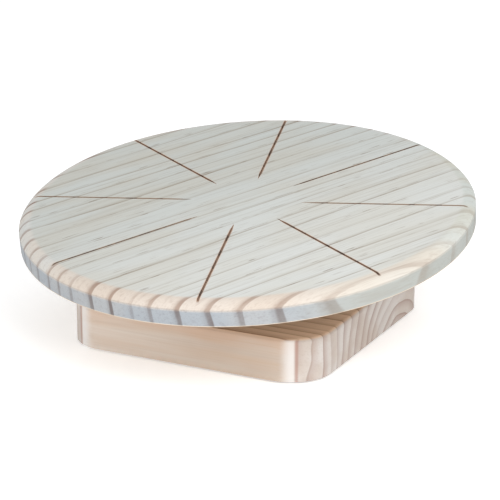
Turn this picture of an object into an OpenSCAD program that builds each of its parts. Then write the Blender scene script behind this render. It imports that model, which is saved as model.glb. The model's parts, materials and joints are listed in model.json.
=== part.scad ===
// Tilt-and-turn display stand: a round wooden top on a ball bearing, carried by a tilting steel
// bracket on a square wooden base. Millimetres, +Z up, origin at the centre of the underside.
// The tilt axle lies along X, and the front is -Y, the side that the top leans towards.

/* [Turntable top] */
// Diameter of the round top
disc_d = 300; // [260:1:400]
// Thickness of the round top
disc_t = 15.5; // [14:0.5:24]
// Radius of the cutter that rounded the upper edge
disc_edge_r = 10; // [7:0.5:12]
// Depth at which the rounding ends in a faint ridge
disc_edge_depth = 5; // [3:0.1:7]
// Number of radial grooves
groove_n = 8; // [4:1:16]
// Width of each groove
groove_w = 1.4; // [1:0.1:3]
// Depth of each groove
groove_depth = 1.3; // [0.8:0.1:2]
// Radius at which each groove starts, as a fine point
groove_start = 36; // [25:1:70]
// Length over which a groove grows to its full width and depth
groove_run_in = 10; // [2:1:15]
// Sideways offset of each groove from the true radius
groove_offset = 0.8; // [0:0.1:2]

/* [Base] */
// Length of the base block, along X
base_l = 180; // [160:1:240]
// Width of the base block, along Y
base_w = 188; // [160:1:240]
// Thickness of the base block
base_t = 28; // [26:1:40]
// Radius of the vertical corners
base_corner_r = 28; // [12:1:40]
// Radius of the softened upper edge
base_edge_r = 2.6; // [1:0.1:6]
// Thickness of the rubber sheet under the block
sheet_t = 1; // [0.8:0.1:2]
// How far the sheet stays in from the block's sides
sheet_inset = 5; // [3:1:12]

/* [Position] */
// Forward lean of the top as it stands
rest_tilt = 8.3; // [0:0.1:20]
// Largest forward lean that the clamp slots allow
max_tilt = 20; // [15:1:20]
// Turn of the top as it stands
rest_turn = 15.2; // [0:0.1:45]

/* [Brackets] */
// Height of the tilt axle above the base block
pivot_rise = 23; // [23:1:30]
// Sheet thickness of the lower bracket
lower_t = 3; // [2:0.5:3]
// Sheet thickness of the tilting bracket
tilt_t = 2.5; // [2:0.5:3]
// Gap between the inside faces of the lower bracket's ears
ear_gap = 80; // [78:1:84]
// Distance from the tilt axle up to the tilting bracket's plate
plate_rise = 8; // [8:0.5:10]

/* [Bearing] */
// Side of the square bearing plates
race_side = 104; // [100:1:110]
// Radius of the circle on which the balls run
ball_circle_r = 38; // [36:1:39]
// Number of balls
ball_n = 24; // [12:1:24]
// Radius of each ball
ball_r = 2.3; // [2:0.1:2.4]

/* [Hidden] */
$fn = 96;
eps = 0.01;
disc_r = disc_d / 2;

// Heights along the leaning axis, counted from the tilt axle
plate_top = plate_rise + tilt_t;
race_plate_t = 1.5;
bearing_h = 8;
disc_low = plate_top + bearing_h;
ball_plane = plate_top + bearing_h / 2;
race_gap = 0.8;
race_low_top = ball_plane - race_gap;
race_up_low = ball_plane + race_gap;
race_plate_low = disc_low - race_plate_t;

// Bearing rings
groove_clear = 0.3;
ring_in = ball_circle_r - 4.5;
ring_out = ball_circle_r + 5;
eyelet_in = 9;
eyelet_out = 10.5;
eyelet_flange_r = 15;
eyelet_flange_t = 1.2;
web_in = 12;
web_t = 1;
lip_clear = 0.4;
cage_in = ball_circle_r - 3.5;
cage_out = ball_circle_r + 3.5;
cage_t = 0.9;
cage_clear = 0.15;
race_corner_r = 8;
disc_screw_at = race_side / 2 - 9;
race_screw_x = 22;
race_screw_y = 45;
access_r = 5;

// Bracket layout
base_top = sheet_t + base_t;
pivot_z = base_top + pivot_rise;
ear_in = ear_gap / 2;
ear_out = ear_in + lower_t;
side_clear = 0.3;
washer_t = 1.2;
tilt_ear_out = ear_in - washer_t - side_clear;
tilt_ear_in = tilt_ear_out - tilt_t;
bend_r = 1;
ear_r = 8;
clamp_v = 24;
clamp_w = -8;
lower_plate_x = 36;
lower_plate_y = 38;
lower_plate_corner = 6;
bracket_screw_at = 27;
tilt_plate_x = 32;
tilt_plate_y = 53;

// Fasteners, all 6 mm bolts and 4 mm screws
bolt_r = 3;
bolt_hole_r = 3.05;
run_hole_r = 3.08;
slot_r = bolt_r + 0.3;
tube_r = 5;
washer_r = 6.5;
bolt_head_af = 10;
bolt_head_h = 4;
lock_nut_h = 6;
screw_r = 2;
screw_hole_r = 2.05;
screw_head_r = 4;
screw_head_h = 2.2;
nut_af = 7;
nut_h = 3.2;
base_screw_l = 22;
disc_screw_l = 13;
disc_pilot_depth = 12;
bolt_past_nut = 1.5;
screw_past_nut = 0.4;

// Clamp knob
knob_r = 12;
knob_neck_r = 7;
knob_neck_h = 5;
knob_h = 19;
knob_lobes = 6;
insert_r = 4.5;
insert_h = 12;
knob_x = -(ear_out + side_clear + washer_t + side_clear);

// ---- Places ----

// The leaning frame: origin on the tilt axle, +Z square to the top
module on_tilt() {
    translate([0, 0, pivot_z])
        rotate([rest_tilt, 0, 0])
            children();
}

// The turning frame: the leaning frame turned to where the top stands
module on_turn() {
    on_tilt()
        rotate([0, 0, rest_turn])
            children();
}

module at_clamp() {
    on_tilt()
        translate([0, clamp_v, clamp_w])
            children();
}

module four(x, y) {
    for (sx = [-1, 1], sy = [-1, 1])
        translate([sx * x, sy * y, 0])
            children();
}

// ---- Shared shapes ----

// Drawn in the YZ plane and spread along X
module along_x(from, to) {
    translate([from, 0, 0])
        rotate([90, 0, 90])
            linear_extrude(height = to - from)
                children();
}

// Drawn in the XZ plane and spread along Y, centred
module along_y(length) {
    rotate([90, 0, 0])
        linear_extrude(height = length, center = true)
            children();
}

module rod_x(from, to, r) {
    along_x(from, to)
        circle(r);
}

module hex_x(from, to, across_flats) {
    translate([from, 0, 0])
        rotate([0, 90, 0])
            cylinder(h = to - from, d = across_flats / cos(30), $fn = 6);
}

module rounded_rectangle(x, y, r) {
    square([x, y - 2 * r], center = true);
    square([x - 2 * r, y], center = true);
    for (sx = [-1, 1], sy = [-1, 1])
        translate([sx * (x / 2 - r), sy * (y / 2 - r)])
            circle(r);
}

// A strip with a rounded pair of lower corners, standing on the X axis
module round_foot(w, h, r) {
    translate([-w / 2, r])
        square([w, h - r]);
    translate([-w / 2 + r, 0])
        square([w - 2 * r, 2 * r]);
    for (s = [-1, 1])
        translate([s * (w / 2 - r), r])
            circle(r);
}

// Section of a bent channel that opens upwards
module channel(w, h, t) {
    difference() {
        round_foot(w, h, bend_r + t);
        translate([0, t])
            round_foot(w - 2 * t, h, bend_r);
    }
}

// Pan-head screw, head up, with the underside of its head at z = 0
module screw(head_r, head_h, r, length) {
    point = 2 * r;
    tip_r = 0.3;
    crown_r = 2.2 * head_r;
    socket_depth = 1.2;
    difference() {
        intersection() {
            cylinder(h = head_h, r = head_r);
            translate([0, 0, head_h - crown_r])
                sphere(crown_r);
        }
        translate([0, 0, head_h - socket_depth])
            cylinder(h = head_h, r = head_r / 2, $fn = 6);
    }
    translate([0, 0, point - length])
        cylinder(h = length - point + eps, r = r);
    translate([0, 0, -length])
        cylinder(h = point, r1 = tip_r, r2 = r);
}

module hex_nut(across_flats, h, r) {
    difference() {
        cylinder(h = h, d = across_flats / cos(30), $fn = 6);
        translate([0, 0, -1])
            cylinder(h = h + 2, r = r);
    }
}

// ---- Base ----

// Outline of a block's upright section: sharp below, softened above
module softened(w, h, r) {
    square([w - r, h]);
    square([w, h - r]);
    translate([w - r, h - r])
        circle(r);
}

module softened_pair(w, h, r) {
    softened(w / 2, h, r);
    mirror([1, 0])
        softened(w / 2, h, r);
}

module base_block() {
    color("burlywood")
        difference() {
            translate([0, 0, sheet_t])
                union() {
                    along_y(base_w - 2 * base_corner_r)
                        softened_pair(base_l, base_t, base_edge_r);
                    rotate([0, 0, 90])
                        along_y(base_l - 2 * base_corner_r)
                            softened_pair(base_w, base_t, base_edge_r);
                    four(base_l / 2 - base_corner_r, base_w / 2 - base_corner_r)
                        rotate_extrude()
                            softened(base_corner_r, base_t, base_edge_r);
                }
            four(bracket_screw_at, bracket_screw_at)
                translate([0, 0, base_top - base_screw_l])
                    cylinder(h = base_screw_l + 1, r = screw_hole_r);
        }
}

module non_slip_sheet() {
    r = base_corner_r - sheet_inset;
    color("dimgray")
        linear_extrude(height = sheet_t)
            rounded_rectangle(base_l - 2 * sheet_inset, base_w - 2 * sheet_inset, r);
}

// ---- Lower bracket and axle ----

// Centre of the clamp bolt in the YZ plane at a given lean
function clamp_at(lean) = [
    clamp_v * cos(lean) - clamp_w * sin(lean),
    pivot_z + clamp_v * sin(lean) + clamp_w * cos(lean)
];

module lower_ear_outline() {
    slot_end = clamp_at(max_tilt);
    translate([-ear_r, base_top])
        square([slot_end[0] + 2 * ear_r, pivot_z - base_top]);
    translate([0, pivot_z])
        square([slot_end[0], ear_r]);
    translate([0, pivot_z])
        circle(ear_r);
    translate([slot_end[0], pivot_z])
        circle(ear_r);
}

// Curved slot that the clamp bolt slides along as the top leans
module clamp_slot() {
    radius = norm([clamp_v, clamp_w]);
    start = atan2(clamp_w, clamp_v);
    for (lean = [0, max_tilt])
        translate(clamp_at(lean))
            circle(slot_r);
    translate([0, pivot_z])
        intersection() {
            difference() {
                circle(radius + slot_r);
                circle(radius - slot_r);
            }
            polygon([[0, 0], 2 * radius * [cos(start), sin(start)],
                2 * radius * [cos(start + max_tilt), sin(start + max_tilt)]]);
        }
}

module lower_bracket() {
    height = pivot_rise + 2 * ear_r;
    color("silver")
        difference() {
            intersection() {
                translate([0, 0, base_top])
                    along_y(4 * lower_plate_y)
                        channel(2 * ear_out, height, lower_t);
                union() {
                    translate([0, 0, base_top])
                        linear_extrude(height = lower_t)
                            rounded_rectangle(2 * lower_plate_x, 2 * lower_plate_y, lower_plate_corner);
                    along_x(-ear_out, ear_out)
                        lower_ear_outline();
                }
            }
            translate([0, 0, pivot_z])
                rod_x(-ear_out - 1, ear_out + 1, bolt_hole_r);
            along_x(-ear_out - 1, ear_out + 1)
                clamp_slot();
            four(bracket_screw_at, bracket_screw_at)
                translate([0, 0, base_top - 1])
                    cylinder(h = lower_t + 2, r = screw_hole_r + 0.2);
        }
}

module bracket_screws() {
    color("gainsboro")
        four(bracket_screw_at, bracket_screw_at)
            translate([0, 0, base_top + lower_t])
                screw(screw_head_r, screw_head_h, screw_r, base_screw_l);
}

module pivot_bolt() {
    tip = ear_out + lock_nut_h + bolt_past_nut;
    color("gainsboro")
        translate([0, 0, pivot_z])
            union() {
                rod_x(-tip, ear_out + eps, bolt_r);
                hex_x(ear_out, ear_out + bolt_head_h, bolt_head_af);
            }
}

module pivot_nut() {
    color("gainsboro")
        translate([-ear_out - lock_nut_h, 0, pivot_z])
            rotate([0, 90, 0])
                hex_nut(bolt_head_af, lock_nut_h, bolt_hole_r);
}

module pivot_washers() {
    color("ivory")
        for (from = [-ear_in, ear_in - washer_t])
            translate([0, 0, pivot_z])
                difference() {
                    rod_x(from, from + washer_t, washer_r);
                    rod_x(from - 1, from + washer_t + 1, bolt_hole_r);
                }
}

// ---- Tilting bracket and clamp ----

module tilt_ear_outline() {
    translate([-ear_r, 0])
        square([clamp_v + 2 * ear_r, plate_top]);
    translate([0, clamp_w])
        square([clamp_v, -clamp_w]);
    translate([clamp_v, clamp_w])
        square([ear_r, -clamp_w]);
    circle(ear_r);
    translate([clamp_v, clamp_w])
        circle(ear_r);
}

module tilt_bracket() {
    height = plate_top - clamp_w + 2 * ear_r;
    color("silver")
        on_tilt()
            difference() {
                intersection() {
                    translate([0, 0, plate_top])
                        mirror([0, 0, 1])
                            along_y(4 * tilt_plate_y)
                                channel(2 * tilt_ear_out, height, tilt_t);
                    union() {
                        translate([0, 0, plate_rise])
                            linear_extrude(height = tilt_t)
                                rounded_rectangle(2 * tilt_plate_x, 2 * tilt_plate_y, lower_plate_corner);
                        along_x(-tilt_ear_out, tilt_ear_out)
                            tilt_ear_outline();
                    }
                }
                rod_x(-ear_out, ear_out, run_hole_r);
                translate([0, clamp_v, clamp_w])
                    rod_x(-ear_out, ear_out, bolt_hole_r);
                four(race_screw_x, race_screw_y)
                    translate([0, 0, plate_rise - 1])
                        cylinder(h = tilt_t + 2, r = screw_hole_r);
            }
}

module spacer_tube(hole_r) {
    difference() {
        rod_x(-tilt_ear_in, tilt_ear_in, tube_r);
        rod_x(-tilt_ear_in - 1, tilt_ear_in + 1, hole_r);
    }
}

module spacer_tubes() {
    color("darkgray")
        union() {
            on_tilt()
                spacer_tube(run_hole_r);
            at_clamp()
                spacer_tube(bolt_hole_r);
        }
}

module clamp_bolt() {
    head = ear_out + side_clear + washer_t;
    color("gainsboro")
        at_clamp()
            union() {
                rod_x(knob_x - insert_h, head + eps, bolt_r);
                hex_x(head, head + bolt_head_h, bolt_head_af);
            }
}

module clamp_washers() {
    color("gainsboro")
        for (from = [ear_out + side_clear, -ear_out - side_clear - washer_t])
            at_clamp()
                difference() {
                    rod_x(from, from + washer_t, washer_r);
                    rod_x(from - 1, from + washer_t + 1, bolt_hole_r);
                }
}

module clamp_knob() {
    scallop_r = 4;
    scallop_at = knob_r + 1.8;
    dome_r = 30;
    color("darkslategray")
        at_clamp()
            translate([knob_x, 0, 0])
                rotate([0, -90, 0])
                    difference() {
                        union() {
                            cylinder(h = knob_neck_h + eps, r = knob_neck_r);
                            intersection() {
                                translate([0, 0, knob_neck_h])
                                    cylinder(h = knob_h - knob_neck_h, r = knob_r);
                                translate([0, 0, knob_h - dome_r])
                                    sphere(dome_r);
                            }
                        }
                        for (i = [0 : knob_lobes - 1])
                            rotate([0, 0, i * 360 / knob_lobes])
                                translate([scallop_at, 0, knob_neck_h - 1])
                                    cylinder(h = knob_h, r = scallop_r);
                        translate([0, 0, -1])
                            cylinder(h = insert_h + 2, r = insert_r);
                    }
}

module knob_insert() {
    color("goldenrod")
        at_clamp()
            difference() {
                rod_x(knob_x - insert_h, knob_x, insert_r);
                rod_x(knob_x - insert_h - 1, knob_x + 1, run_hole_r);
            }
}

// ---- Bearing ----

// Ring-shaped channel that the balls run in
module ball_track() {
    rotate_extrude()
        translate([ball_circle_r, ball_plane])
            circle(ball_r + groove_clear);
}

module ring(r_in, r_out, low, high) {
    rotate_extrude()
        translate([r_in, low])
            square([r_out - r_in, high - low]);
}

module race_plate(low) {
    translate([0, 0, low])
        linear_extrude(height = race_plate_t)
            rounded_rectangle(race_side, race_side, race_corner_r);
}

module bearing_lower_race() {
    flange_low = race_up_low + web_t + lip_clear;
    color("silver")
        on_tilt()
            difference() {
                union() {
                    race_plate(plate_top);
                    ring(ring_in, ring_out, plate_top + eps, race_low_top);
                    ring(eyelet_in - 1, eyelet_out, plate_top, flange_low + eyelet_flange_t);
                    ring(eyelet_in - 1, eyelet_flange_r, flange_low, flange_low + eyelet_flange_t);
                }
                ball_track();
                cylinder(h = 2 * disc_low, r = eyelet_in);
                four(race_screw_x, race_screw_y)
                    cylinder(h = 2 * disc_low, r = screw_hole_r);
                rotate([0, 0, 45])
                    translate([disc_screw_at * sqrt(2), 0, 0])
                        cylinder(h = 2 * disc_low, r = access_r);
            }
}

// Screws through the tilting bracket's plate and the lower race, heads below
module bearing_screws() {
    length = tilt_t + race_plate_t + nut_h + screw_past_nut;
    color("gainsboro")
        on_tilt()
            four(race_screw_x, race_screw_y)
                translate([0, 0, plate_rise])
                    mirror([0, 0, 1])
                        union() {
                            cylinder(h = screw_head_h, r = screw_head_r);
                            translate([0, 0, -length])
                                cylinder(h = length + eps, r = screw_r);
                        }
}

module bearing_nuts() {
    color("gainsboro")
        on_tilt()
            four(race_screw_x, race_screw_y)
                translate([0, 0, plate_top + race_plate_t])
                    hex_nut(nut_af, nut_h, screw_hole_r);
}

module around_balls() {
    for (i = [0 : ball_n - 1])
        rotate([0, 0, i * 360 / ball_n])
            translate([ball_circle_r, 0, ball_plane])
                children();
}

module ball_cage() {
    color("white")
        on_tilt()
            difference() {
                ring(cage_in, cage_out, ball_plane - cage_t / 2, ball_plane + cage_t / 2);
                around_balls()
                    cylinder(h = 2, r = ball_r + cage_clear, center = true);
            }
}

module bearing_balls() {
    color("lightgray")
        on_tilt()
            around_balls()
                sphere(ball_r, $fn = 32);
}

module bearing_upper_race() {
    color("silver")
        on_turn()
            difference() {
                union() {
                    difference() {
                        race_plate(race_plate_low);
                        cylinder(h = 2 * disc_low, r = ring_in);
                    }
                    ring(ring_in, ring_out, race_up_low, race_plate_low + race_plate_t / 2);
                    ring(web_in, ring_in + 1, race_up_low, race_up_low + web_t);
                }
                ball_track();
                four(disc_screw_at, disc_screw_at)
                    cylinder(h = 2 * disc_low, r = screw_hole_r + 0.2);
            }
}

// Screws up through the upper race into the underside of the top
module disc_screws() {
    color("gainsboro")
        on_turn()
            four(disc_screw_at, disc_screw_at)
                translate([0, 0, race_plate_low])
                    mirror([0, 0, 1])
                        screw(screw_head_r, screw_head_h, screw_r, disc_screw_l);
}

// ---- Top ----

module disc_section() {
    edge_run = sqrt(2 * disc_edge_r * disc_edge_depth - disc_edge_depth ^ 2);
    edge_in = disc_r - edge_run;
    square([disc_r, disc_t - disc_edge_depth]);
    square([edge_in, disc_t]);
    intersection() {
        translate([edge_in, disc_t - disc_edge_r])
            circle(disc_edge_r);
        translate([edge_in - eps, disc_t - disc_edge_depth - eps])
            square([edge_run + eps, disc_edge_depth + eps]);
    }
}

// One groove, run out at the rim and brought to a fine point at its inner end
module groove() {
    full = groove_start + groove_run_in;
    out = disc_r + 1;
    half = groove_w / 2;
    translate([0, -groove_offset, disc_t])
        intersection() {
            rotate([90, 0, 0])
                linear_extrude(height = 2 * groove_w, center = true)
                    polygon([[groove_start, 0], [full, -groove_depth], [out, -groove_depth],
                        [out, 1], [groove_start, 1]]);
            translate([0, 0, -2 * groove_depth])
                linear_extrude(height = 3 * groove_depth)
                    polygon([[groove_start - 1, 0], [full, half], [out, half], [out, -half], [full, -half]]);
        }
}

module turntable_disc() {
    color("linen")
        on_turn()
            translate([0, 0, disc_low])
                difference() {
                    rotate_extrude($fn = 180)
                        disc_section();
                    for (i = [0 : groove_n - 1])
                        rotate([0, 0, i * 360 / groove_n])
                            groove();
                    four(disc_screw_at, disc_screw_at)
                        translate([0, 0, -1])
                            cylinder(h = disc_pilot_depth + 1, r = screw_hole_r);
                }
}

base_block();
non_slip_sheet();
lower_bracket();
bracket_screws();
pivot_bolt();
pivot_nut();
pivot_washers();
tilt_bracket();
spacer_tubes();
clamp_bolt();
clamp_washers();
clamp_knob();
knob_insert();
bearing_lower_race();
bearing_screws();
bearing_nuts();
ball_cage();
bearing_balls();
bearing_upper_race();
disc_screws();
turntable_disc();
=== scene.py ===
"""Tilt-and-turn display stand: looks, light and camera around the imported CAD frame. Metres."""
import json
from math import atan2, cos, pi, radians, sin, sqrt, tan

import bpy
from mathutils import Matrix, Vector


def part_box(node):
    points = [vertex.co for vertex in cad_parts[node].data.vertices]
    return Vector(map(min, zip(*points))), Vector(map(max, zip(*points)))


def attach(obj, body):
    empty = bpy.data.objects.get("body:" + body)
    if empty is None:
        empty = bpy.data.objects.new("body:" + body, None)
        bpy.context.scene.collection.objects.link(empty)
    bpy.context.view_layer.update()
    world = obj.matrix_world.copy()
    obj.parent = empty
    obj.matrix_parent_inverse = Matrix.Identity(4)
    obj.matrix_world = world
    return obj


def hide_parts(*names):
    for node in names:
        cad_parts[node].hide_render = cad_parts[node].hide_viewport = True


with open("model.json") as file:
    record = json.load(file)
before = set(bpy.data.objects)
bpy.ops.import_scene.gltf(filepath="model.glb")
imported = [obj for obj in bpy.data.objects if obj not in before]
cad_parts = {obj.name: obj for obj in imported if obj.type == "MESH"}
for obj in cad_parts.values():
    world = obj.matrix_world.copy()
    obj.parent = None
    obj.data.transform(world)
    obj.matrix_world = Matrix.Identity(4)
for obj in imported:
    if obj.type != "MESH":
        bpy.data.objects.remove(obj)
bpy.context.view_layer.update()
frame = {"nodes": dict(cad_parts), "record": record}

MM = 0.001


# ---------------------------------------------------------------- places read from the frame

JOINTS = {joint["name"]: joint for joint in frame["record"]["behaviour"]["joints"]}
PIVOT = Vector(JOINTS["tilt"]["pos_m"])
SPIN_AXIS = Vector(JOINTS["spin"]["axis"])
TILT = atan2(-SPIN_AXIS.y, SPIN_AXIS.z)
TOP = Vector(next(m for m in frame["record"]["mounts"] if m["name"] == "table_top")["pos_m"])
TOP_RISE = (TOP - PIVOT).length

BASE_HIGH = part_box("base_block")[1]

# Driving sizes of the wooden top, as in the CAD
DISC_R = 150 * MM
DISC_T = 15.5 * MM
EDGE_RUN = 8.66 * MM
EDGE_DEPTH = 5 * MM
REST_TURN = radians(15.2)
GROOVE_N = 8
GROOVE_W = 1.4 * MM
GROOVE_START = 36 * MM
GROOVE_RUN_IN = 10 * MM
GROOVE_OFFSET = 0.8 * MM
GRAIN_TURN = REST_TURN + radians(45)  # one pair of grooves lies along the grain


# ---------------------------------------------------------------- camera, light and floor

CAMERA_AZIMUTH = radians(26.53)
CAMERA_ELEVATION = radians(17.60)
CAMERA_DISTANCE = 1.3574
CAMERA_LENS = 145.43
SENSOR_WIDTH = 36
AIM_RIGHT = 0.29 * MM
AIM_UP = 48.02 * MM
WORLD_LIGHT = 0.82
WORLD_SEEN = 1.1  # a little brighter to the camera, so that no grey strip shows behind the floor
FLOOR_HALF = 12
FLOOR_DROP = 0.2 * MM  # keeps the floor clear of the sheet's underside


def view_axes(azimuth, elevation):
    """Right, up and back directions of a camera that looks at the origin."""
    back = Vector((sin(azimuth) * cos(elevation), -cos(azimuth) * cos(elevation), sin(elevation)))
    right = Vector((cos(azimuth), sin(azimuth), 0))
    return right, back.cross(right), back


def make_camera():
    right, up, back = view_axes(CAMERA_AZIMUTH, CAMERA_ELEVATION)
    camera = bpy.data.objects.new("camera", bpy.data.cameras.new("camera"))
    bpy.context.collection.objects.link(camera)
    camera.location = AIM_RIGHT * right + AIM_UP * up + CAMERA_DISTANCE * back
    camera.rotation_euler = back.to_track_quat("Z", "Y").to_euler()
    camera.data.lens = CAMERA_LENS
    camera.data.sensor_width = SENSOR_WIDTH
    bpy.context.scene.camera = camera


def make_softbox(name, azimuth, elevation, distance, size, power):
    light = bpy.data.lights.new(name, "AREA")
    light.shape = "DISK"
    light.size = size
    light.energy = power
    box = bpy.data.objects.new(name, light)
    bpy.context.collection.objects.link(box)
    _, _, back = view_axes(radians(azimuth), radians(elevation))
    box.location = distance * back
    box.rotation_euler = back.to_track_quat("Z", "Y").to_euler()


def make_studio():
    world = bpy.data.worlds.new("studio")
    world.use_nodes = True
    tree = world.node_tree
    background = tree.nodes["Background"]
    background.inputs["Color"].default_value = (0.97, 0.985, 1.0, 1)
    seen = tree.nodes.new("ShaderNodeLightPath").outputs["Is Camera Ray"]
    strength = tree.nodes.new("ShaderNodeMapRange")
    strength.inputs["To Min"].default_value = WORLD_LIGHT
    strength.inputs["To Max"].default_value = WORLD_SEEN
    tree.links.new(seen, strength.inputs["Value"])
    tree.links.new(strength.outputs["Result"], background.inputs["Strength"])
    bpy.context.scene.world = world
    make_softbox("key", azimuth=50, elevation=40, distance=1.05, size=0.6, power=4.2)
    make_softbox("front", azimuth=5, elevation=14, distance=2.2, size=1.6, power=10)
    bpy.context.scene.view_settings.view_transform = "Standard"


def make_floor():
    graph = Graph("floor_paper")
    paper = graph.shader(color=(0.93, 0.93, 0.93, 1), roughness=0.9)
    paper.inputs["Emission Color"].default_value = (1, 1, 1, 1)
    paper.inputs["Emission Strength"].default_value = 0.30
    mesh = bpy.data.meshes.new("floor")
    corners = [(FLOOR_HALF * side, FLOOR_HALF * end, 0) for side, end in ((-1, -1), (1, -1), (1, 1), (-1, 1))]
    mesh.from_pydata(corners, [], [(0, 1, 2, 3)])
    floor = bpy.data.objects.new("floor", mesh)
    floor.location.z = -FLOOR_DROP
    bpy.context.collection.objects.link(floor)
    mesh.materials.append(graph.material)


# ---------------------------------------------------------------- shader building

class Graph:
    """A material's node tree, with one method for each kind of node used here."""

    def __init__(self, name):
        self.material = bpy.data.materials.new(name)
        self.material.use_nodes = True
        self.tree = self.material.node_tree
        self.tree.nodes.clear()

    def add(self, kind, **settings):
        node = self.tree.nodes.new(kind)
        for key, value in settings.items():
            setattr(node, key, value)
        return node

    def feed(self, socket, value):
        if isinstance(value, bpy.types.NodeSocket):
            self.tree.links.new(value, socket)
        elif value is not None:
            socket.default_value = value

    def math(self, operation, *values):
        node = self.add("ShaderNodeMath", operation=operation)
        for socket, value in zip(node.inputs, values):
            self.feed(socket, value)
        return node.outputs[0]

    def plus(self, a, b):
        return self.math("ADD", a, b)

    def minus(self, a, b):
        return self.math("SUBTRACT", a, b)

    def times(self, a, b):
        return self.math("MULTIPLY", a, b)

    def hypotenuse(self, a, b):
        return self.math("SQRT", self.plus(self.times(a, a), self.times(b, b)))

    def step(self, value, low, high, out_low=0.0, out_high=1.0, smooth=True):
        kind = "SMOOTHSTEP" if smooth else "LINEAR"
        node = self.add("ShaderNodeMapRange", interpolation_type=kind, clamp=True)
        for name, number in zip(("Value", "From Min", "From Max", "To Min", "To Max"),
                                (value, low, high, out_low, out_high)):
            self.feed(node.inputs[name], number)
        return node.outputs["Result"]

    def between(self, value, rise_low, rise_high, fall_low, fall_high):
        """1 between two soft edges, 0 outside them."""
        return self.times(self.step(value, rise_low, rise_high),
                          self.step(value, fall_low, fall_high, 1.0, 0.0))

    def mix(self, factor, a, b):
        node = self.add("ShaderNodeMix", data_type="RGBA")
        self.feed(node.inputs["Factor"], factor)
        self.feed(node.inputs["A"], a)
        self.feed(node.inputs["B"], b)
        return node.outputs["Result"]

    def noise(self, vector, scale, detail):
        node = self.add("ShaderNodeTexNoise", noise_dimensions="3D")
        self.feed(node.inputs["Vector"], vector)
        self.feed(node.inputs["Scale"], scale)
        self.feed(node.inputs["Detail"], detail)
        return node.outputs["Fac"]

    def random_at(self, value):
        node = self.add("ShaderNodeTexWhiteNoise", noise_dimensions="1D")
        self.feed(node.inputs["W"], value)
        return node.outputs["Value"]

    def combine(self, x, y, z):
        node = self.add("ShaderNodeCombineXYZ")
        for socket, value in zip(node.inputs, (x, y, z)):
            self.feed(socket, value)
        return node.outputs[0]

    def place(self, location=(0, 0, 0), rotation=(0, 0, 0)):
        """Object coordinates seen from a frame at this place."""
        coordinates = self.add("ShaderNodeTexCoord").outputs["Object"]
        return self.seen_from(coordinates, location, rotation)

    def seen_from(self, vector, location=(0, 0, 0), rotation=(0, 0, 0)):
        node = self.add("ShaderNodeMapping", vector_type="TEXTURE")
        self.feed(node.inputs["Vector"], vector)
        node.inputs["Location"].default_value = location
        node.inputs["Rotation"].default_value = rotation
        return node.outputs[0]

    def split(self, vector):
        node = self.add("ShaderNodeSeparateXYZ")
        self.feed(node.inputs[0], vector)
        return tuple(node.outputs)

    def bump(self, height, distance, strength):
        node = self.add("ShaderNodeBump")
        self.feed(node.inputs["Height"], height)
        node.inputs["Distance"].default_value = distance
        node.inputs["Strength"].default_value = strength
        return node.outputs[0]

    def shader(self, color, roughness, metallic=0.0, normal=None, specular=0.5):
        output = self.add("ShaderNodeOutputMaterial")
        bsdf = self.add("ShaderNodeBsdfPrincipled")
        self.feed(bsdf.inputs["Base Color"], color)
        self.feed(bsdf.inputs["Roughness"], roughness)
        self.feed(bsdf.inputs["Metallic"], metallic)
        self.feed(bsdf.inputs["Specular IOR Level"], specular)
        self.feed(bsdf.inputs["Normal"], normal)
        self.tree.links.new(bsdf.outputs[0], output.inputs["Surface"])
        return bsdf


def rgb(red, green, blue):
    """Screen colour, 0 to 255, as a linear shader colour."""
    def linear(channel):
        share = channel / 255
        return share / 12.92 if share <= 0.04045 else ((share + 0.055) / 1.055) ** 2.4
    return (linear(red), linear(green), linear(blue), 1)


# ---------------------------------------------------------------- wood

def growth_rings(graph, outward, spacing):
    """How far each point is through its growth ring, 0 to 1, and a random strength for the ring."""
    count = graph.math("DIVIDE", outward, spacing)
    return graph.math("FRACT", count), graph.random_at(graph.math("FLOOR", count))


def ring_line(graph, share, start, full, weight):
    """A dark line at the end of each ring: it builds up from start to full, then stops short."""
    stop_from = 0.955
    build = graph.step(share, start, full)
    stop = graph.step(share, stop_from, 1.0, 1.0, 0.0)
    return graph.times(graph.times(build, stop), weight)


def drawn_noise(graph, point, sizes, detail):
    """Noise with its own cell size along each axis, so that it can be drawn out along the grain."""
    cells = (graph.math("DIVIDE", part, size) for part, size in zip(point, sizes))
    return graph.noise(graph.combine(*cells), 1.0, detail)


def centred(graph, noise, reach):
    """Noise turned into a distance that swings both ways."""
    return graph.times(graph.minus(noise, 0.5), reach)


def blend_in(graph, amount, share, under, over):
    """Lays one colour over another where amount is 1, as strongly as share says."""
    return graph.mix(graph.times(amount, share), under, over)


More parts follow.
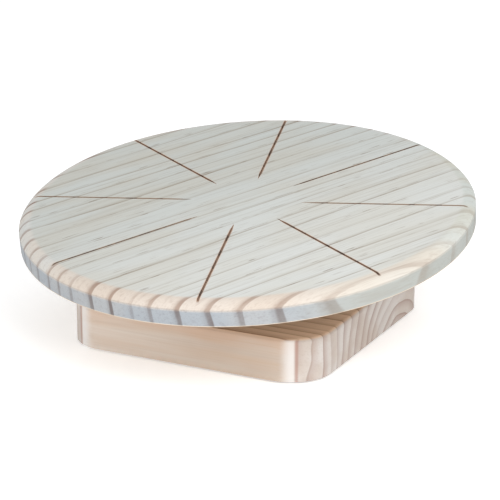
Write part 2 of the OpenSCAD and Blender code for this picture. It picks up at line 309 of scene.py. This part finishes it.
def disc_wood():
    graph = Graph("whitewashed_pine")
    flat = graph.place(PIVOT, (TILT, 0, 0))
    x, y, height = graph.split(flat)
    below_top = graph.minus(TOP_RISE, height)
    radius = graph.hypotenuse(x, y)
    along, across, _ = graph.split(graph.seen_from(flat, rotation=(0, 0, GRAIN_TURN)))
    point = (along, across, height)

    # Near-upright growth rings cross the top as lines and the rim as strokes
    ring_spacing, ring_lean = 13.6 * MM, -0.10
    drift = drawn_noise(graph, point, (420 * MM, 45 * MM, 200 * MM), 1.0)
    ripple = drawn_noise(graph, point, (90 * MM, 6 * MM, 60 * MM), 2.0)
    outward = graph.math("MULTIPLY_ADD", below_top, ring_lean, graph.times(across, -1))
    wander = graph.plus(centred(graph, drift, 22 * MM), centred(graph, ripple, 2 * MM))
    share, strength = growth_rings(graph, graph.plus(outward, wander), ring_spacing)
    fade = drawn_noise(graph, point, (55 * MM, 9 * MM, 30 * MM), 1.0)
    weight = graph.times(graph.step(strength, 0.0, 1.0, 0.4, 1.0), graph.step(fade, 0.3, 0.65, 0.5, 1.0))
    # Towards the far side of the top: painted shade as a darker whitewash, and the ring lines at full
    # strength, fainter towards the near side
    far_painted_shade_and_rings = graph.step(across, -0.7 * DISC_R, 0.5 * DISC_R)
    faint = graph.times(weight, graph.step(far_painted_shade_and_rings, 0.0, 1.0, 0.68, 1.0))
    shade = ring_line(graph, share, 0.68, 0.92, faint)
    core = ring_line(graph, share, 0.87, 0.92, faint)
    broad = ring_line(graph, share, 0.60, 0.84, weight)
    thick = ring_line(graph, share, 0.76, 0.86, weight)

    fibre = drawn_noise(graph, point, (70 * MM, 0.8 * MM, 0.8 * MM), 3.0)
    streak = drawn_noise(graph, point, (140 * MM, 2.6 * MM, 2.6 * MM), 2.0)
    patch = drawn_noise(graph, point, (90 * MM, 30 * MM, 30 * MM), 2.0)
    fleck_field = drawn_noise(graph, point, (14 * MM, 0.9 * MM, 0.9 * MM), 0.0)
    fleck = graph.times(graph.step(fleck_field, 0.72, 0.77), graph.step(share, 0.5, 0.8, 0.3, 1.0))

    def grown(light, dark, line, soft, soft_share, hard, hard_share):
        """One finish of the same wood: two ground tones, fibres, then the rings over them."""
        colour = graph.mix(graph.step(patch, 0.35, 0.65), light, dark)
        colour = blend_in(graph, graph.step(streak, 0.52, 0.72), 0.16, colour, line)
        colour = blend_in(graph, graph.step(fibre, 0.45, 0.8), 0.18, colour, line)
        colour = blend_in(graph, soft, soft_share, colour, line)
        return blend_in(graph, hard, hard_share, colour, line)

    # The right-hand side is quieter, its rim and bare edge a little lighter as painted light, and the
    # front-right edge the barest
    sideward = graph.math("MULTIPLY_ADD", x, 0.98, graph.times(y, 0.17))
    sideward = graph.step(sideward, 0.35 * DISC_R, 0.75 * DISC_R)
    toward = graph.math("MULTIPLY_ADD", x, 0.50, graph.times(y, -0.87))
    toward = graph.plus(toward, centred(graph, patch, 40 * MM))
    barest = graph.step(toward, 0.3 * DISC_R, 0.85 * DISC_R)
    quieter = graph.step(sideward, 0.0, 1.0, 1.0, 0.35)
    calm_broad = graph.times(broad, quieter)
    calm_thick = graph.times(thick, quieter)

    # Whitewash on the flats; barer wood where the edge was rounded, most of all on one side
    # The whitewash darkens towards the far side: painted shade.
    washed = grown(graph.mix(far_painted_shade_and_rings, rgb(206, 207, 203), rgb(192, 195, 191)),
                   graph.mix(far_painted_shade_and_rings, rgb(203, 202, 195), rgb(190, 189, 181)),
                   rgb(138, 123, 104), shade, 0.34, core, 0.66)
    washed = blend_in(graph, fleck, 0.6, washed, rgb(110, 90, 70))
    # The bare tones are lighter towards the right: painted light.
    pale_bare = graph.mix(sideward, rgb(209, 198, 187), rgb(211, 206, 197))
    deep_bare = graph.mix(sideward, rgb(204, 191, 178), rgb(207, 199, 187))
    bare = grown(pale_bare, deep_bare, rgb(134, 104, 86), calm_broad, 0.42, calm_thick, 0.60)
    worn = grown(rgb(202, 202, 198), rgb(206, 198, 188), rgb(118, 80, 60), broad, 0.38, thick, 0.88)
    worn_right = grown(rgb(196, 200, 195), rgb(198, 197, 186), rgb(150, 136, 120), broad, 0.25, thick, 0.40)
    rim_front = grown(rgb(158, 163, 168), rgb(166, 168, 170), rgb(92, 76, 70), broad, 0.40, thick, 0.75)
    # The right-hand rim is lighter than the front rim: painted light; its fainter strokes are grain.
    rim_right = grown(rgb(171, 173, 168), rgb(167, 169, 164), rgb(140, 124, 108), broad, 0.20, thick, 0.28)

    edge_in = DISC_R - EDGE_RUN
    frayed_radius = graph.plus(radius, centred(graph, fibre, 2 * MM))
    rounded = graph.step(frayed_radius, edge_in - 1.2 * MM, edge_in + 2.2 * MM)
    edge = graph.mix(barest, graph.mix(sideward, worn, worn_right), bare)
    colour = graph.mix(rounded, washed, edge)
    frayed_depth = graph.plus(below_top, centred(graph, fibre, 0.8 * MM))
    on_rim = graph.step(frayed_depth, EDGE_DEPTH - 0.6 * MM, EDGE_DEPTH + 1.5 * MM)
    colour = graph.mix(on_rim, colour, graph.mix(sideward, rim_front, rim_right))
    under = grown(rgb(210, 199, 184), rgb(203, 190, 173), rgb(150, 122, 98), shade, 0.35, core, 0.5)
    colour = graph.mix(graph.step(below_top, DISC_T - 0.6 * MM, DISC_T - 0.3 * MM), colour, under)
    # Painted shadow: a thin dark line where the rounded edge meets the upright rim
    ridge_shadow_half = 0.6 * MM
    ridge = graph.between(below_top, EDGE_DEPTH - ridge_shadow_half, EDGE_DEPTH, EDGE_DEPTH, EDGE_DEPTH + ridge_shadow_half)
    colour = blend_in(graph, ridge, 0.25, colour, rgb(120, 112, 106))

    # Scorched grooves: brown inside, darker where they cross a ring, with a thin orange edge.
    # beside is the distance from the groove's middle, in half widths of the groove.
    pitch = 2 * pi / GROOVE_N
    angle = graph.plus(graph.math("ARCTAN2", y, x), pitch / 2 - REST_TURN)
    folded = graph.minus(graph.math("FLOORED_MODULO", angle, pitch), pitch / 2)
    sideways = graph.math("MULTIPLY_ADD", radius, graph.math("SINE", folded), GROOVE_OFFSET)
    beside = graph.math("ABSOLUTE", sideways)
    grow = graph.step(radius, GROOVE_START, GROOVE_START + GROOVE_RUN_IN, 0.05, 1.0, smooth=False)
    beside = graph.math("DIVIDE", beside, graph.times(grow, GROOVE_W / 2))
    heading = graph.math("ABSOLUTE", graph.math("MULTIPLY_ADD", across, -0.5, along))
    deep_burn = graph.step(graph.math("DIVIDE", heading, radius), 0.6, 0.95)
    span = graph.between(radius, GROOVE_START, GROOVE_START + 3 * MM, edge_in + 2 * MM, edge_in + 5 * MM)
    span = graph.times(span, graph.step(below_top, 2 * MM, 2.6 * MM, 1.0, 0.0))
    flicker = drawn_noise(graph, (x, y, height), (4 * MM, 4 * MM, 50 * MM), 2.0)
    burn = graph.step(graph.plus(share, centred(graph, flicker, 1.4)), 0.45, 1.05)
    halo = graph.times(graph.step(beside, 1.0, 2.1, 1.0, 0.0), span)
    char = graph.times(graph.step(beside, 1.04, 1.3, 1.0, 0.0), span)
    orange = graph.mix(burn, rgb(214, 166, 132), rgb(160, 118, 92))
    halo = graph.times(halo, graph.step(deep_burn, 0.0, 1.0, 0.62, 0.3))
    colour = graph.mix(halo, colour, orange)
    seared = graph.mix(burn, rgb(148, 122, 104), rgb(90, 76, 67))
    scorched = graph.mix(burn, rgb(150, 128, 108), rgb(98, 82, 70))
    colour = blend_in(graph, char, 0.88, colour, graph.mix(deep_burn, seared, scorched))

    relief = graph.math("MULTIPLY_ADD", core, 0.6, graph.times(fibre, 0.5))
    normal = graph.bump(relief, 0.2 * MM, 0.5)
    graph.shader(colour, graph.step(fibre, 0.2, 0.8, 0.62, 0.8), normal=normal, specular=0.25)
    return graph.material


def base_wood():
    graph = Graph("planed_pine")
    point = graph.split(graph.place())
    x, y, z = point
    pith_y, pith_z = 44 * MM, -19 * MM
    ring_spacing = 8.6 * MM
    half_l, top_z = BASE_HIGH.x, BASE_HIGH.z

    # Rings about a pith that runs along X, below the block: arcs on the ends, flatter further out
    drift = drawn_noise(graph, point, (600 * MM, 34 * MM, 34 * MM), 1.0)
    ripple = drawn_noise(graph, point, (80 * MM, 6 * MM, 6 * MM), 2.0)
    dy = graph.minus(y, pith_y)
    straighten = graph.step(graph.math("ABSOLUTE", dy), 45 * MM, 115 * MM, 1.0, 0.3)
    dz = graph.times(graph.minus(z, pith_z), straighten)
    from_pith = graph.hypotenuse(dy, dz)
    wander = graph.plus(centred(graph, drift, 9 * MM), centred(graph, ripple, 0.7 * MM))
    share, strength = growth_rings(graph, graph.plus(from_pith, wander), ring_spacing)
    weight = graph.step(strength, 0.0, 1.0, 0.4, 1.0)
    shade = ring_line(graph, share, 0.25, 0.88, weight)
    core = ring_line(graph, share, 0.80, 0.92, weight)
    fibre = drawn_noise(graph, point, (80 * MM, 0.9 * MM, 0.9 * MM), 3.0)
    streak = drawn_noise(graph, point, (150 * MM, 7 * MM, 7 * MM), 3.0)
    patch = drawn_noise(graph, point, (60 * MM, 16 * MM, 16 * MM), 2.0)
    from_end = graph.minus(half_l, graph.math("ABSOLUTE", x))

    # The long sides: plain beige, warmer towards the upper edge
    paler = graph.step(x, -80 * MM, 50 * MM, 1.0, 0.0)
    side = graph.mix(graph.step(patch, 0.35, 0.65), rgb(189, 177, 165), rgb(184, 168, 154))
    side = blend_in(graph, paler, 0.7, side, rgb(218, 206, 195))
    side = blend_in(graph, graph.step(streak, 0.45, 0.75), 0.35, side, rgb(190, 158, 130))
    side = blend_in(graph, graph.step(fibre, 0.45, 0.8), 0.20, side, rgb(164, 138, 118))
    near_top = graph.step(z, top_z - 14 * MM, top_z - 2 * MM)
    warm = graph.times(near_top, graph.step(patch, 0.35, 0.6, 0.3, 1.0))
    side = blend_in(graph, warm, 0.34, side, rgb(200, 150, 112))

    # The ends: pale early wood, mauve-brown late wood, open pores
    end = graph.mix(graph.step(patch, 0.35, 0.65), rgb(202, 196, 191), rgb(192, 181, 172))
    end = blend_in(graph, shade, 0.60, end, rgb(158, 134, 124))
    end = blend_in(graph, core, 0.32, end, rgb(134, 106, 94))
    pore = drawn_noise(graph, point, (6 * MM, 0.9 * MM, 0.9 * MM), 3.0)
    end = blend_in(graph, graph.step(pore, 0.45, 0.75), 0.25, end, rgb(168, 150, 138))

    # The top, which lies in the shade of the disc: painted shade, a browner wood with heavier dark ring lines
    # than the sides
    top = blend_in(graph, shade, 0.45, rgb(216, 188, 163), rgb(158, 120, 94))
    top = blend_in(graph, core, 0.5, top, rgb(122, 88, 66))
    top = blend_in(graph, graph.step(fibre, 0.45, 0.8), 0.25, top, rgb(140, 104, 78))

    # The rounded corners pass from side to end through a pale strip with a thin red line
    pale = graph.between(from_end, 12 * MM, 15 * MM, 16 * MM, 24 * MM)
    side = blend_in(graph, pale, 0.7, side, rgb(224, 222, 220))
    colour = graph.mix(graph.step(from_end, 12 * MM, 15 * MM), end, side)
    thin = graph.between(from_end, 11.6 * MM, 12.6 * MM, 13.2 * MM, 14.4 * MM)
    colour = blend_in(graph, thin, 0.45, colour, rgb(156, 104, 90))
    colour = graph.mix(graph.step(z, top_z - 1.4 * MM, top_z - 0.2 * MM), colour, top)

    relief = graph.math("MULTIPLY_ADD", core, 0.5, graph.times(fibre, 0.5))
    normal = graph.bump(relief, 0.2 * MM, 0.5)
    graph.shader(colour, graph.step(fibre, 0.2, 0.8, 0.6, 0.75), normal=normal, specular=0.25)
    return graph.material


# ---------------------------------------------------------------- metal, rubber and plastic

def metal(name, colour, roughness):
    cloud_scale, speck_scale = 60, 1800
    graph = Graph(name)
    surface = graph.place()
    cloud = graph.noise(surface, cloud_scale, detail=4.0)
    speck = graph.noise(surface, speck_scale, detail=1.0)
    darker = tuple(channel * 0.8 for channel in colour[:3]) + (1,)
    tint = graph.mix(graph.step(cloud, 0.3, 0.7), darker, colour)
    rough = graph.step(cloud, 0.3, 0.7, roughness * 0.8, roughness * 1.25)
    graph.shader(tint, rough, metallic=1.0, normal=graph.bump(speck, 0.02 * MM, 0.3))
    return graph.material


def moulded(name, colour, roughness):
    cloud_scale, pebble_scale = 40, 1500
    graph = Graph(name)
    surface = graph.place()
    pebble = graph.noise(surface, pebble_scale, detail=2.0)
    cloud = graph.noise(surface, cloud_scale, detail=2.0)
    lighter = tuple(min(1, channel * 1.25) for channel in colour[:3]) + (1,)
    tint = graph.mix(graph.step(cloud, 0.3, 0.7), colour, lighter)
    graph.shader(tint, graph.step(pebble, 0.3, 0.7, roughness * 0.85, roughness),
                 normal=graph.bump(pebble, 0.05 * MM, 0.4))
    return graph.material


# ---------------------------------------------------------------- fasteners and knob

BOLT_R = 3 * MM
BOLT_AF = 10 * MM
BOLT_HEAD_H = 4 * MM
BOLT_PITCH = 1 * MM
SCREW_R = 2 * MM
SCREW_PITCH = 0.7 * MM
SCREW_HEAD_R = 4 * MM
SCREW_HEAD_H = 2.2 * MM
NUT_AF = 7 * MM
NUT_H = 3.2 * MM
KNOB_R = 12 * MM
KNOB_H = 19 * MM
KNOB_LOBES = 6
AROUND = 48  # points on a round section
THREAD_AROUND = 24
THREAD_STEPS = 6  # rings of points in each turn of a thread
SMOOTH_BELOW = radians(40)
BROKEN_EDGE = 0.25 * MM
BREAK_ABOVE = radians(50)


def turned(rows, around=AROUND, closed=False):
    """A surface from rings of points. A row is (radius, height); either may be a function of the angle."""
    verts, faces = [], []
    for radius, height in rows:
        for i in range(around):
            angle = 2 * pi * i / around
            r = radius(angle) if callable(radius) else radius
            z = height(angle) if callable(height) else height
            verts.append(Vector((r * cos(angle), r * sin(angle), z)))
    rings = [list(range(k * around, (k + 1) * around)) for k in range(len(rows))]
    pairs = list(zip(rings, rings[1:]))
    if closed:
        pairs.append((rings[-1], rings[0]))
    else:
        faces += [rings[0][::-1], rings[-1]]
    for low, high in pairs:
        faces += [(low[i - 1], low[i], high[i], high[i - 1]) for i in range(around)]
    return verts, faces


def hexagon(across_flats):
    """Radius of a hexagon at an angle, with a corner at angle zero."""
    return lambda angle: across_flats / 2 / cos(angle % (pi / 3) - pi / 6)


def chamfered_hex(across_flats, height, bore=0.0, both=False):
    """Bolt head or nut, its corners cut back by a cone."""
    outline = hexagon(across_flats)
    crown = across_flats * 0.47
    cone, bore_edge = radians(30), 0.3 * MM

    def drop(angle):
        return (outline(angle) - crown) * tan(cone)

    rows = [(crown, 0), (outline, drop)] if both else [(outline, 0)]
    rows += [(outline, lambda angle: height - drop(angle)), (crown, height)]
    if not bore:
        return turned(rows)
    rows = [(bore, 0)] + rows + [(bore + bore_edge, height), (bore, height - bore_edge)]
    return turned(rows, closed=True)


def threaded(length, radius, pitch, plain=0.0):
    """A rod from height 0 that is plain for a start, then threaded to a chamfered end."""
    depth = pitch * 0.5

    def ridge(height):
        fade = min(1, (length - height) / pitch)

        def at(angle):
            phase = (height / pitch - angle / (2 * pi)) % 1
            return (radius - depth * abs(2 * phase - 1)) * (0.8 + 0.2 * fade)
        return at

    rows = [(radius, 0), (radius, plain)] if plain else []
    count = int((length - plain) / pitch * THREAD_STEPS)
    heights = [plain + k * pitch / THREAD_STEPS for k in range(1, count + 1)]
    rows += [(ridge(height), height) for height in heights]
    return turned(rows, around=THREAD_AROUND)


def pan_head():
    """Pan-head screw head with a cross recess, underside at height 0."""
    crown = 2.2 * SCREW_HEAD_R
    slot_half, slot_reach, slot_depth = 0.45 * MM, 2.3 * MM, 1.3 * MM

    def dome(r):
        return SCREW_HEAD_H - crown + sqrt(crown ** 2 - r ** 2)

    def cross(angle):
        turn = (angle + pi / 4) % (pi / 2) - pi / 4
        return min(slot_reach, slot_half / max(abs(sin(turn)), 0.05))

    rows = [(SCREW_HEAD_R * 0.96, 0), (SCREW_HEAD_R, 0.2 * MM),
            (SCREW_HEAD_R, dome(SCREW_HEAD_R) - 0.25 * MM)]
    rows += [(r, dome(r)) for r in (SCREW_HEAD_R - 0.3 * MM, 3.2 * MM, 2.5 * MM)]
    rows += [(cross, lambda angle: dome(cross(angle))),
             (lambda angle: cross(angle) * 0.6, SCREW_HEAD_H - slot_depth)]
    return turned(rows, around=2 * AROUND)


def wood_thread(length):
    """Tapered screw shank, head end at height 0 and point at height length."""
    pitch, taper = 1.6 * MM, 5 * MM

    def ridge(height):
        size = min(1, (length - height) / taper * 0.85 + 0.15)

        def at(angle):
            phase = (height / pitch - angle / (2 * pi)) % 1
            return SCREW_R * size * (0.68 + 0.32 * max(0, 1 - 3 * min(phase, 1 - phase)))
        return at

    count = int(length / pitch * THREAD_STEPS)
    heights = [k * pitch / THREAD_STEPS for k in range(count + 1)]
    return turned([(ridge(height), height) for height in heights], around=THREAD_AROUND)


def knob_surface():
    """A lobed hand knob with a short neck and a domed end, its mounting face at height 0."""
    bore_r, shoulder = 4.5 * MM, 15 * MM
    scallop_r, scallop_at = 4 * MM, KNOB_R + 1.8 * MM
    neck, neck_h, dome_r = 7 * MM, 5 * MM, 30 * MM

    def lobe(angle):
        turn = (angle + pi / KNOB_LOBES) % (2 * pi / KNOB_LOBES) - pi / KNOB_LOBES
        reach = scallop_r ** 2 - (scallop_at * sin(turn)) ** 2
        cut = scallop_at * cos(turn) - sqrt(reach) if reach > 0 else KNOB_R
        return min(KNOB_R, cut)

    def dome(r):
        return KNOB_H - dome_r + sqrt(dome_r ** 2 - r ** 2)

    def inside(amount, share=1.0):
        return lambda angle: (lobe(angle) - amount) * share

    rows = [(bore_r, 1 * MM), (bore_r, 0), (neck - 0.6 * MM, 0), (neck, 0.6 * MM), (neck, neck_h - 0.6 * MM),
            (neck + 0.6 * MM, neck_h), (inside(1.2 * MM), neck_h), (inside(0.35 * MM), neck_h + 0.35 * MM),
            (lobe, neck_h + 1.2 * MM), (lobe, shoulder), (inside(0.3 * MM), shoulder + 0.9 * MM),
            (inside(1.1 * MM), lambda angle: dome(lobe(angle)) - 0.15 * MM)]
    for share in (1.0, 0.75, 0.5, 0.25, 0.05):
        crown = inside(1.4 * MM, share)
        rows.append((crown, lambda angle, crown=crown: dome(crown(angle))))
    return turned(rows, around=3 * AROUND)


def assemble(name, node, body, parts, material):
    """One piece made of several shapes, each at its own place, that stands for a CAD node."""
    verts, faces = [], []
    for (part_verts, part_faces), place in parts:
        first = len(verts)
        verts += [place @ vert for vert in part_verts]
        faces += [tuple(first + i for i in face) for face in part_faces]
    mesh = bpy.data.meshes.new(name)
    mesh.from_pydata(verts, [], faces)
    mesh.shade_smooth()
    mesh.set_sharp_from_angle(angle=SMOOTH_BELOW)
    mesh.materials.append(material)
    piece = bpy.data.objects.new(name, mesh)
    bpy.context.collection.objects.link(piece)
    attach(piece, body)
    if node:
        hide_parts(node)


def fasten(bolt, nylon, plastic):
    """Detailed bolts, nuts, screws and knob in place of the CAD's plain ones."""
    lean = Matrix.Rotation(TILT, 4, "X")
    on_tilt = Matrix.Translation(PIVOT) @ lean
    on_turn = on_tilt @ Matrix.Rotation(REST_TURN, 4, "Z")
    to_plus_x = Matrix.Rotation(pi / 2, 4, "Y")
    to_minus_x = Matrix.Rotation(-pi / 2, 4, "Y")
    over = Matrix.Rotation(pi, 4, "X")

    def at(x, y, z):
        return Matrix.Translation((x, y, z))

    def four(x, y, z):
        return [at(sx * x, sy * y, z) for sx in (-1, 1) for sy in (-1, 1)]

    def hex_bolt(low_x, high_x, seat, plain):
        """A bolt along X, its head at the high end; seat is the place of the head's underside."""
        shank = threaded(high_x - BOLT_HEAD_H - low_x, BOLT_R, BOLT_PITCH, plain)
        return [(chamfered_hex(BOLT_AF, BOLT_HEAD_H), seat @ to_plus_x), (shank, seat @ to_minus_x)]

    # Axle: head on the +X side, lock nut on the -X side
    low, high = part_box("pivot_bolt")
    axle = at(high.x - BOLT_HEAD_H, PIVOT.y, PIVOT.z)
    axle_parts = hex_bolt(low.x, high.x, axle, plain=72 * MM)
    assemble("axle_bolt", "pivot_bolt", "base", axle_parts, bolt)
    nut_low, nut_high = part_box("pivot_nut")
    nut_h = nut_high.x - nut_low.x
    collar_low = nut_h - 1.6 * MM
    collar_in, collar_out = 3.9 * MM, 4.7 * MM
    nut_place = at(nut_high.x, PIVOT.y, PIVOT.z) @ to_minus_x
    nut = chamfered_hex(BOLT_AF, collar_low, bore=BOLT_R, both=True)
    collar = turned([(collar_in, collar_low - 0.4 * MM), (collar_out, collar_low - 0.4 * MM),
                     (collar_out, nut_h - 0.5 * MM), (collar_out - 0.5 * MM, nut_h), (collar_in, nut_h)],
                    closed=True)
    nut_parts = [(nut, nut_place), (collar, nut_place)]
    assemble("axle_lock_nut", "pivot_nut", "base", nut_parts, bolt)
    ring_high = nut_h - 0.3 * MM
    ring = turned([(BOLT_R, collar_low), (collar_in, collar_low),
                   (collar_in, ring_high), (BOLT_R, ring_high)], closed=True)
    assemble("axle_lock_nut_ring", None, "base", [(ring, nut_place)], nylon)

    # Clamp bolt and knob share one line
    low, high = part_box("clamp_bolt")
    centre = (low + high) / 2
    knob_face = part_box("knob_insert")[1].x
    clamp = at(high.x - BOLT_HEAD_H, centre.y, centre.z) @ lean
    clamp_parts = hex_bolt(low.x, high.x, clamp, plain=74 * MM)
    assemble("clamp_bolt_threaded", "clamp_bolt", "tilt_head", clamp_parts, bolt)
    knob_place = at(knob_face, centre.y, centre.z) @ lean @ to_minus_x
    knob = [(knob_surface(), knob_place)]
    assemble("star_knob", "clamp_knob", "clamp_hand_knob", knob, plastic)

    # Screws: heads up on the base, heads down under the tilting bracket and the top
    def screws(name, node, body, shank, places):
        parts = [(pan_head(), place) for place in places] + [(shank, place @ over) for place in places]
        assemble(name, node, body, parts, bolt)

    bracket_t = 3 * MM
    base_places = four(27 * MM, 27 * MM, BASE_HIGH.z + bracket_t)
    screws("base_wood_screws", "bracket_screws", "base", wood_thread(22 * MM), base_places)

    # Heights above the axle, square to the top
    top_screw_seat, race_screw_seat, race_nut_seat = 17 * MM, 8 * MM, 12 * MM
    top_places = [on_turn @ place @ over for place in four(43 * MM, 43 * MM, top_screw_seat)]
    screws("top_wood_screws", "disc_screws", "turntable", wood_thread(13 * MM), top_places)
    race_x, race_y = 22 * MM, 45 * MM
    race_places = [on_tilt @ place @ over for place in four(race_x, race_y, race_screw_seat)]
    race_shank = threaded(7.6 * MM, SCREW_R, SCREW_PITCH)
    screws("race_machine_screws", "bearing_screws", "tilt_head", race_shank, race_places)
    race_nut = chamfered_hex(NUT_AF, NUT_H, bore=SCREW_R, both=True)
    race_nuts = [(race_nut, on_tilt @ place) for place in four(race_x, race_y, race_nut_seat)]
    assemble("race_nuts", "bearing_nuts", "tilt_head", race_nuts, bolt)


def soften(node):
    """Sheared and machined edges catch the light on a small bevel."""
    bevel = frame["nodes"][node].modifiers.new("broken_edge", "BEVEL")
    bevel.width = BROKEN_EDGE
    bevel.segments = 2
    bevel.limit_method = "ANGLE"
    bevel.angle_limit = BREAK_ABOVE


def paint(node, material):
    for slot in frame["nodes"][node].material_slots:
        slot.material = material


def dress_frame():
    zinc = metal("zinc_plate", rgb(196, 198, 200), 0.38)
    bolt = metal("bolt_steel", rgb(205, 205, 206), 0.28)
    ball = metal("ball_steel", rgb(225, 225, 226), 0.12)
    nylon = moulded("nylon", rgb(228, 226, 215), 0.5)
    plastic = moulded("knob_plastic", rgb(38, 38, 40), 0.5)
    brass = metal("brass", rgb(205, 170, 95), 0.3)
    looks = {
        "turntable_disc": disc_wood(), "base_block": base_wood(),
        "non_slip_sheet": moulded("rubber", rgb(50, 50, 52), 0.85),
        "bearing_balls": ball, "knob_insert": brass, "clamp_knob": plastic,
    }
    looks.update(dict.fromkeys(("lower_bracket", "tilt_bracket", "bearing_lower_race",
                                "bearing_upper_race"), zinc))
    looks.update(dict.fromkeys(("bracket_screws", "pivot_bolt", "pivot_nut", "spacer_tubes", "clamp_bolt",
                                "clamp_washers", "bearing_screws", "bearing_nuts", "disc_screws"), bolt))
    looks.update(dict.fromkeys(("pivot_washers", "ball_cage"), nylon))
    for node, material in looks.items():
        paint(node, material)
    for node in ("lower_bracket", "tilt_bracket", "clamp_washers", "pivot_washers", "spacer_tubes"):
        soften(node)
    fasten(bolt, nylon, plastic)


make_camera()
make_studio()
make_floor()
dress_frame()
